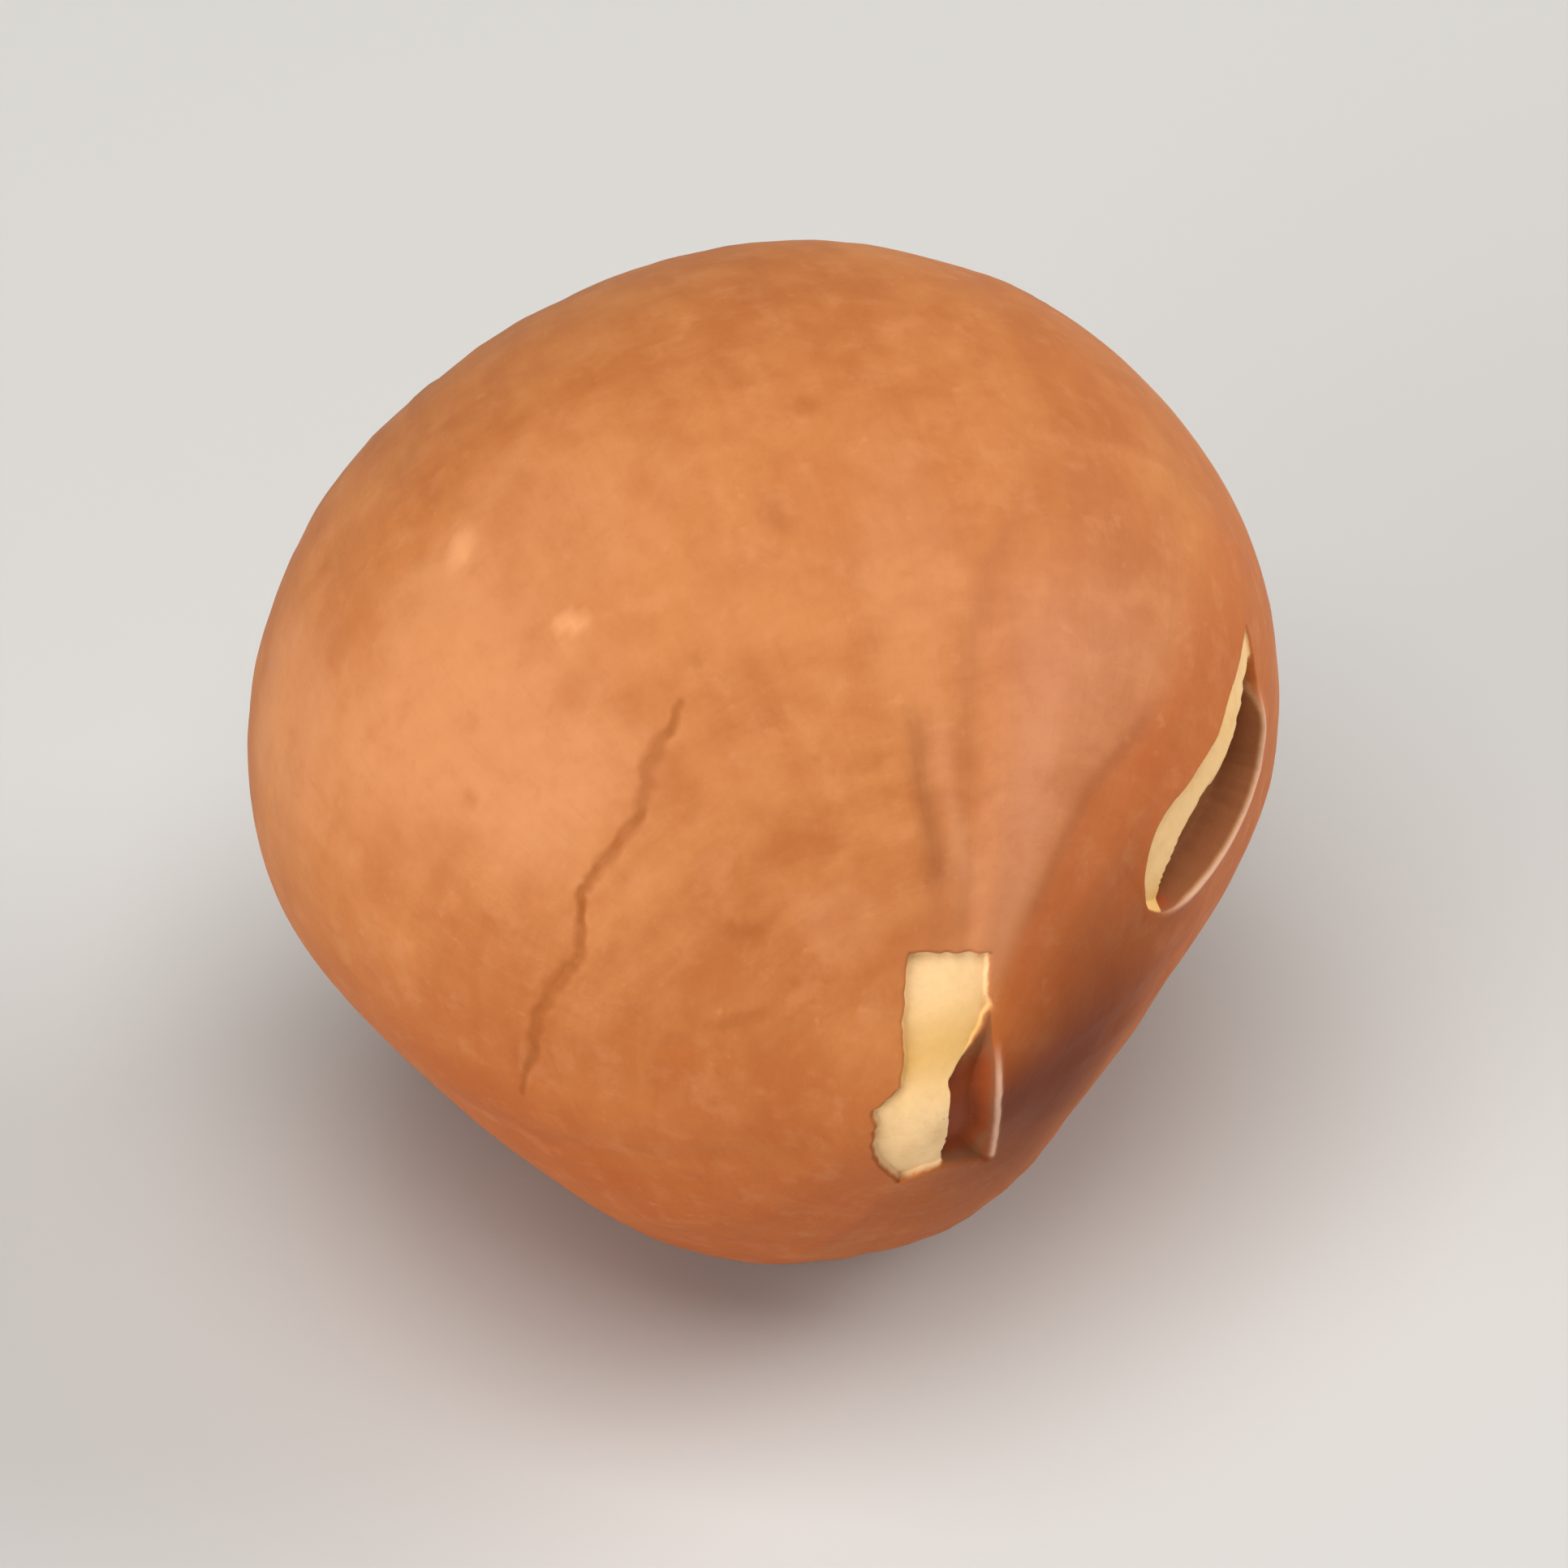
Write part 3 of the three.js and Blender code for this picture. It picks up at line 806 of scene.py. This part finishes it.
def kernel_places(sheet, axis_middle):
    """Places on the kernel: plain, drawn out along and around the axis, and as radius and length."""
    place = sheet.add("ShaderNodeTexCoord", {}, {}, out="Object")
    shifted = sheet.add("ShaderNodeVectorMath", {"operation": "SUBTRACT"}, {0: place, 1: axis_middle})
    per_mm = 1.0 / METRES_PER_MM
    local = sheet.add("ShaderNodeVectorMath", {"operation": "SCALE"}, {0: shifted, "Scale": per_mm})
    x = sheet.add("ShaderNodeSeparateXYZ", {}, {0: local}, out="X")
    y = Wire(sheet, x.socket.node.outputs["Y"])
    z = Wire(sheet, x.socket.node.outputs["Z"])
    radius = (x * x + z * z + 0.01) ** 0.5
    streaks = sheet.add("ShaderNodeCombineXYZ", {}, {0: x / radius, 1: z / radius, 2: y * 0.022})
    rings = sheet.add("ShaderNodeVectorMath", {"operation": "MULTIPLY"}, {0: local, 1: (0.45, 2.2, 0.45)})
    return local, streaks, rings, radius, y


def flesh_colour(sheet, colours, mottle, grain):
    """Cream flesh, warmer in patches and in grains."""
    warm = sheet.mask("yolk") * 0.75 + sheet.rise(mottle, 0.40, 0.75) * 0.25
    flesh = sheet.blend(warm, colours.flesh_pale, colours.flesh_warm)
    return sheet.blend(sheet.rise(grain, 0.48, 0.80) * 0.22, flesh, colours.flesh_warm)


def skin_material(colours, axis_middle):
    """Roasted skin with streaks, mottling and creases, with painted shade, shadow, sheen, glints and
    highlights, and cream flesh where the skin is gone.
    """
    sheet = MaterialSheet("roasted_skin")
    local, streaks, rings, radius, length = kernel_places(sheet, axis_middle)

    # Noise drawn out along the axis, around it, and even in all directions, from coarse to fine.
    band = sheet.noise(streaks, 4.0, 3.0)
    streak = sheet.noise(streaks, 17.0, 4.0, 0.6)
    hair = sheet.noise(streaks, 52.0, 3.0, 0.6)
    ripple = sheet.noise(rings, 1.3, 4.0, 0.55, 0.4)
    cloud = sheet.noise(local, 0.33, 3.0, 0.55)
    mottle = sheet.noise(local, 1.15, 5.0, 0.62, 0.3)
    crumbs = sheet.noise(local, 1.6, 6.0, 0.7)
    patina = sheet.noise(local, 1.8, 4.0, 0.6, 0.2)
    flakes = sheet.noise(local, 3.4, 2.0, 0.5)
    grain = sheet.noise(local, 7.0, 4.0, 0.6)

    # Away from both ends, and towards the tip.
    calm = sheet.rise(radius, 2.2, 5.6)
    nose = sheet.rise(length, -2.0, -5.5)
    tone = 0.5 + (cloud - 0.5) * 1.1 + (mottle - 0.5) * 0.95
    tone = tone + ((band - 0.5) * 0.6 + (streak - 0.5) * 0.4) * calm
    tone = tone + (ripple - 0.5) * (nose * 0.9 + 0.2)
    skin = sheet.blend(sheet.rise(tone, 0.05, 0.95), colours.skin_deep, colours.skin_light)
    pink_and_sheen_share = 0.65 + sheet.rise(band, 0.35, 0.65) * 0.30
    ruddy_and_shade_share = 0.60 + sheet.rise(streak, 0.35, 0.65) * 0.12
    scar_tone = sheet.blend(sheet.rise(crumbs, 0.28, 0.72), colours.scar_dark, colours.scar_pale)
    openings = {0: sheet.mask("chip"), 1: sheet.mask("split")}
    bare = sheet.add("ShaderNodeMath", {"operation": "MAXIMUM"}, openings) + (grain - 0.5) * 0.025

    # What lies over the plain skin, from the lowest to the topmost: how much of it, and its colour.
    layers = (
        # Pale patches, partly painted sheen.
        (sheet.mask("pale") * 0.55, colours.skin_pale),
        # Pink lobe: partly pinker skin, partly painted sheen; the ridge beside the sharp crease gets a
        # painted highlight here too.
        (sheet.mask("lobe") * pink_and_sheen_share, colours.skin_pink_and_sheen),
        # Reddish skin, partly painted shade on the underside and the right flank.
        (sheet.mask("ruddy_and_shade") * ruddy_and_shade_share, colours.skin_ruddy_and_shade),
        (sheet.rise(hair, 0.52, 0.80) * calm * 0.16, colours.skin_deep),
        (sheet.rise(flakes, 0.66, 0.78) * 0.22, colours.skin_pale),
        (sheet.rise(flakes, 0.36, 0.20) * 0.10, colours.crease),
        (sheet.rise(patina, 0.50, 0.72) * 0.26, colours.skin_deep),
        (sheet.rise(patina, 0.50, 0.28) * 0.22, colours.skin_pale),
        (sheet.rise(grain, 0.55, 0.80) * 0.14, colours.skin_deep),
        (sheet.rise(grain, 0.44, 0.22) * 0.12, colours.skin_light),
        # Painted shadow beside and below the tip.
        (sheet.mask("tip_shadow") * 0.90, colours.skin_tip_shadow),
        # Painted glints.
        (sheet.mask("glint") * 0.7, colours.glint),
        (sheet.mask("fleck") * 0.30, colours.crack),
        (sheet.mask("crease") * 0.45, colours.crease),
        (sheet.mask("vein") * 0.28, colours.crease),
        (sheet.mask("scar"), scar_tone),
        (sheet.mask("scar_rim") * 0.40, colours.scar_dark),
        (sheet.mask("crack") * 0.85, colours.crack),
        # Lifted skin edges, pale with a painted highlight.
        (sheet.mask("lip") * 0.95, colours.lip),
        (sheet.rise(bare, -0.06, -0.01) * 0.15, colours.crack),
    )
    for share, colour in layers:
        skin = sheet.blend(share, skin, colour)

    flesh_share = sheet.rise(bare, -0.015, 0.015)
    base = sheet.blend(flesh_share, skin, flesh_colour(sheet, colours, mottle, grain))
    # Painted shade in the split's gap and in the hollow beside the chip: torn brown skin, darkening to the
    # gap colour where the painted shade is deepest.
    gap = sheet.mask("gap")
    gap_painted_shade = sheet.blend(sheet.rise(gap, 0.5, 1.0), colours.torn, colours.gap)
    base = sheet.blend(sheet.rise(gap, 0.05, 0.45), base, gap_painted_shade)

    gloss = 0.54 + (mottle - 0.5) * 0.20 + (streak - 0.5) * 0.10
    gloss = gloss + flesh_share * 0.14 + sheet.mask("scar") * 0.25
    height = ((hair - 0.5) * 0.009 + (streak - 0.5) * 0.016) * calm + (grain - 0.5) * 0.013
    height = height + (ripple - 0.5) * 0.03 * nose
    fine = {"Strength": 0.8, "Distance": METRES_PER_MM, "Height": height}
    normal = sheet.add("ShaderNodeBump", {}, fine)
    shader = sheet.add(
        "ShaderNodeBsdfPrincipled",
        {"subsurface_method": "RANDOM_WALK"},
        {
            "Base Color": base,
            "Roughness": gloss,
            "Normal": normal,
            "IOR": 1.42,
            "Specular IOR Level": 0.12,
            "Subsurface Weight": 0.08,
            "Subsurface Radius": (1.0, 0.45, 0.25),
            "Subsurface Scale": 0.6 * METRES_PER_MM,
        },
        out="BSDF",
    )
    return sheet.finish(shader)


def floor_material(colour):
    """Plain pale matte paper."""
    sheet = MaterialSheet("pale_floor")
    shader = sheet.add(
        "ShaderNodeBsdfPrincipled", {}, {"Base Color": (*colour, 1.0), "Roughness": 0.9}, out="BSDF"
    )
    return sheet.finish(shader)


def linear(red, green, blue):
    """Scene colour of a colour given in display steps from 0 to 255."""
    def one(step):
        share = step / 255.0
        return share / 12.92 if share <= 0.04045 else ((share + 0.055) / 1.055) ** 2.4
    return one(red), one(green), one(blue)


def number_property(name, description, value, **kind):
    return bpy.props.FloatProperty(name=name, description=description, default=value, **kind)


def length_property(name, description, millimetres):
    metres = millimetres / MM_PER_METRE
    return number_property(name, description, metres, unit="LENGTH", precision=6, min=0.0)


def angle_property(name, description, degrees):
    return number_property(name, description, math.radians(degrees), subtype="ANGLE")


def power_property(name, description, watts):
    return number_property(name, description, watts, unit="POWER")


def colour_property(name, description, colour):
    return bpy.props.FloatVectorProperty(
        name=name, description=description, default=linear(*colour),
        subtype="COLOR", size=3, min=0.0, max=1.0,
    )


class KernelSizes(bpy.types.PropertyGroup):
    """Sizes of the skin's relief and openings."""

    skin_thickness: length_property("Skin thickness", "Depth of the flesh where the skin is gone", 0.25)
    rib_height: length_property("Rib height", "Height of the ribs that gather towards the tip", 0.012)
    lobe_rise: length_property("Lobe rise", "How far the lobe beside the creases stands out", 0.15)
    lump_height: length_property("Lump height", "Height of the broad dents and swellings", 0.07)
    wrinkle_height: length_property("Wrinkle height", "Height of the fine wrinkles along the axis", 0.016)
    crack_width: length_property("Crack width", "Usual width of the hairline crack", 0.19)
    crack_depth: length_property("Crack depth", "Depth of the hairline crack", 0.038)


class KernelColours(bpy.types.PropertyGroup):
    """Colours of the skin and of the flesh under it."""

    skin_light: colour_property("Light skin", "Lighter streaks of the skin", (204, 131, 75))
    skin_deep: colour_property("Deep skin", "Darker streaks of the skin", (184, 107, 56))
    # Reddish skin, also used for the painted shade on the underside and the right flank.
    skin_ruddy_and_shade: colour_property("Ruddy skin", "Warmer patches of the skin", (187, 88, 31))
    # Colour of the painted shadow beside and below the tip.
    skin_tip_shadow: colour_property("Dusky skin", "Dark skin beside the tip", (106, 40, 13))
    # Pinkish skin of the lobe, lightened with painted sheen.
    skin_pink_and_sheen: colour_property("Pink skin", "The raised lobe beside the creases", (212, 142, 103))
    # Also used for the pale patches on the left flank, which are partly painted sheen.
    skin_pale: colour_property("Pale skin", "Rubbed pale patches of the skin", (222, 152, 102))
    # Colour of the small painted glints.
    glint: colour_property("Speck", "Small waxy specks", (236, 166, 112))
    crease: colour_property("Crease", "Creases that run to the tip", (150, 86, 52))
    crack: colour_property("Crack", "Crack and torn edges of the skin", (156, 84, 32))
    # Colour of the painted highlight on the lifted skin edges.
    lip: colour_property("Lip", "Lifted thin edges of the skin", (234, 188, 160))
    flesh_pale: colour_property("Pale flesh", "Flesh under the skin", (255, 214, 160))
    flesh_warm: colour_property("Warm flesh", "Warmer flesh under the skin", (220, 170, 88))
    torn: colour_property("Torn", "Torn brown inside of the skin", (146, 88, 52))
    gap: colour_property("Gap", "Shaded hollows under the skin", (158, 76, 38))
    scar_pale: colour_property("Pale scar", "Pale part of the scar at the base", (200, 138, 90))
    scar_dark: colour_property("Dark scar", "Dark part of the scar at the base", (166, 106, 64))


class StageSettings(bpy.types.PropertyGroup):
    """The floor, the light and the camera."""

    floor: colour_property("Floor", "Colour of the floor", (205, 203, 199))
    left_power: power_property("Left light", "Power of the left softbox", 0.41)
    right_power: power_property("Right light", "Power of the right softbox", 0.495)
    top_power: power_property("Top light", "Power of the overhead softbox", 0.73)
    sky: number_property("Sky", "Strength of the even light from all round", 0.08)
    elevation: angle_property("Elevation", "Camera's angle above the floor", 42.0)
    azimuth: angle_property("Azimuth", "Camera's turn from the front", -18.0)
    focal_length: number_property("Focal length", "Camera's focal length in millimetres", 700.0)
    frame_share: number_property("Frame share", "Share of the picture's width that the kernel fills", 0.66)


class HAZELNUT_OT_make_kernel(bpy.types.Operator):
    """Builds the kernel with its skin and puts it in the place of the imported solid"""

    bl_idname = "hazelnut.make_kernel"
    bl_label = "Make kernel"

    def execute(self, context):
        sizes, colours = context.scene.hazelnut_sizes, context.scene.hazelnut_colours
        mesh = kernel_plan(sizes)
        count = len(mesh.vertices)
        flat = np.empty(3 * count)
        mesh.vertices.foreach_get("co", flat)
        length, around = read_plan(flat.reshape(-1, 3))
        points, axial, radius = kernel_form(sizes, length, around)
        low, high = points.min(axis=0), points.max(axis=0)
        mesh.vertices.foreach_set("co", points.ravel())
        mesh.update()
        normals = np.empty(3 * count)
        mesh.vertex_normals.foreach_get("vector", normals)
        normals = normals.reshape(-1, 3)
        if (normals * points).sum() < 0:
            mesh.flip_normals()
            normals = -normals
        surface = SkinSurface(sizes, points, axial, radius, around)
        surface.build()
        points = points + normals * surface.height[:, None]

        # Into the row frame: centred on the solid, level with its top, and flat where it rests.
        node_low, node_high = np.array(NODE_LOW), np.array(NODE_HIGH)
        middle = 0.5 * (node_low + node_high) - 0.5 * (low + high) * METRES_PER_MM
        middle[2] = node_high[2] - high[2] * METRES_PER_MM
        points = points * METRES_PER_MM + middle
        points[:, 2] = np.maximum(points[:, 2], node_low[2])
        mesh.vertices.foreach_set("co", points.ravel())
        mesh.polygons.foreach_set("use_smooth", np.ones(len(mesh.polygons), bool))
        mesh.update()
        for name, values in surface.masks.items():
            layer = mesh.attributes.new(name, "FLOAT", "POINT")
            layer.data.foreach_set("value", values.astype(np.float32))
        if mesh.validate():
            raise RuntimeError("the kernel's mesh had faults")
        mesh.materials.append(skin_material(colours, tuple(middle)))
        kernel = bpy.data.objects.new("kernel", mesh)
        context.scene.collection.objects.link(kernel)
        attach(kernel, "root")
        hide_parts(NODE)
        return {"FINISHED"}


def softbox(name, setting, power, aim):
    """A square area light that looks at a point."""
    direction, distance, width = setting
    lamp = bpy.data.lights.new(name, "AREA")
    lamp.shape = "SQUARE"
    lamp.size = width
    lamp.energy = power
    light = bpy.data.objects.new(name, lamp)
    towards = Vector(direction).normalized()
    light.location = aim + towards * distance
    light.rotation_euler = towards.to_track_quat("Z", "Y").to_euler()
    bpy.context.scene.collection.objects.link(light)


class HAZELNUT_OT_make_stage(bpy.types.Operator):
    """Makes the pale floor, the soft light and the camera"""

    bl_idname = "hazelnut.make_stage"
    bl_label = "Make stage"

    def execute(self, context):
        stage = context.scene.hazelnut_stage
        floor_mesh = bpy.data.meshes.new("floor")
        far = FLOOR_REACH
        corners = [(-far, -far, 0), (far, -far, 0), (far, far, 0), (-far, far, 0)]
        floor_mesh.from_pydata(corners, [], [(0, 1, 2, 3)])
        floor_mesh.materials.append(floor_material(stage.floor))
        floor = bpy.data.objects.new("floor", floor_mesh)
        context.scene.collection.objects.link(floor)

        aim = (CAD_LOW + CAD_HIGH) / 2
        softbox("left_softbox", LEFT_SOFTBOX, stage.left_power, aim)
        softbox("right_softbox", RIGHT_SOFTBOX, stage.right_power, aim)
        softbox("top_softbox", TOP_SOFTBOX, stage.top_power, aim)
        world = bpy.data.worlds.new("even_sky")
        world.use_nodes = True
        backdrop = world.node_tree.nodes["Background"]
        backdrop.inputs["Color"].default_value = SKY_TINT
        backdrop.inputs["Strength"].default_value = stage.sky
        context.scene.world = world
        context.scene.view_settings.view_transform = "Standard"

        lens = bpy.data.cameras.new("camera")
        lens.lens = stage.focal_length
        lens.clip_start, lens.clip_end = 0.001, 20.0
        camera = bpy.data.objects.new("camera", lens)
        turn, rise = stage.azimuth, stage.elevation
        level = math.cos(rise)
        back = Vector((math.sin(turn) * level, -math.cos(turn) * level, math.sin(rise)))
        width = 2 * WIDEST_RADIUS * METRES_PER_MM / stage.frame_share
        camera.location = aim + back * (width * stage.focal_length / lens.sensor_width)
        camera.rotation_euler = back.to_track_quat("Z", "Y").to_euler()
        context.scene.collection.objects.link(camera)
        context.scene.camera = camera
        return {"FINISHED"}


class HAZELNUT_PT_panel(bpy.types.Panel):
    """Lists the kernel's sizes and colours, and the steps that build it"""

    bl_idname = "HAZELNUT_PT_panel"
    bl_label = "Hazelnut"
    bl_space_type = "VIEW_3D"
    bl_region_type = "UI"
    bl_category = "Hazelnut"

    def draw(self, context):
        for group_name in GROUPS:
            group, box = getattr(context.scene, group_name), self.layout.box()
            for name in group.__annotations__:
                box.prop(group, name)
        self.layout.operator(HAZELNUT_OT_make_kernel.bl_idname)
        self.layout.operator(HAZELNUT_OT_make_stage.bl_idname)


GROUPS = {
    "hazelnut_sizes": KernelSizes,
    "hazelnut_colours": KernelColours,
    "hazelnut_stage": StageSettings,
}
CLASSES = (*GROUPS.values(), HAZELNUT_OT_make_kernel, HAZELNUT_OT_make_stage, HAZELNUT_PT_panel)


def register():
    for one in CLASSES:
        bpy.utils.register_class(one)
    for name, group in GROUPS.items():
        setattr(bpy.types.Scene, name, bpy.props.PointerProperty(type=group))


def unregister():
    for name in GROUPS:
        delattr(bpy.types.Scene, name)
    for one in reversed(CLASSES):
        bpy.utils.unregister_class(one)


def main():
    register()
    bpy.ops.hazelnut.make_kernel()
    bpy.ops.hazelnut.make_stage()


if __name__ == "__main__":
    main()
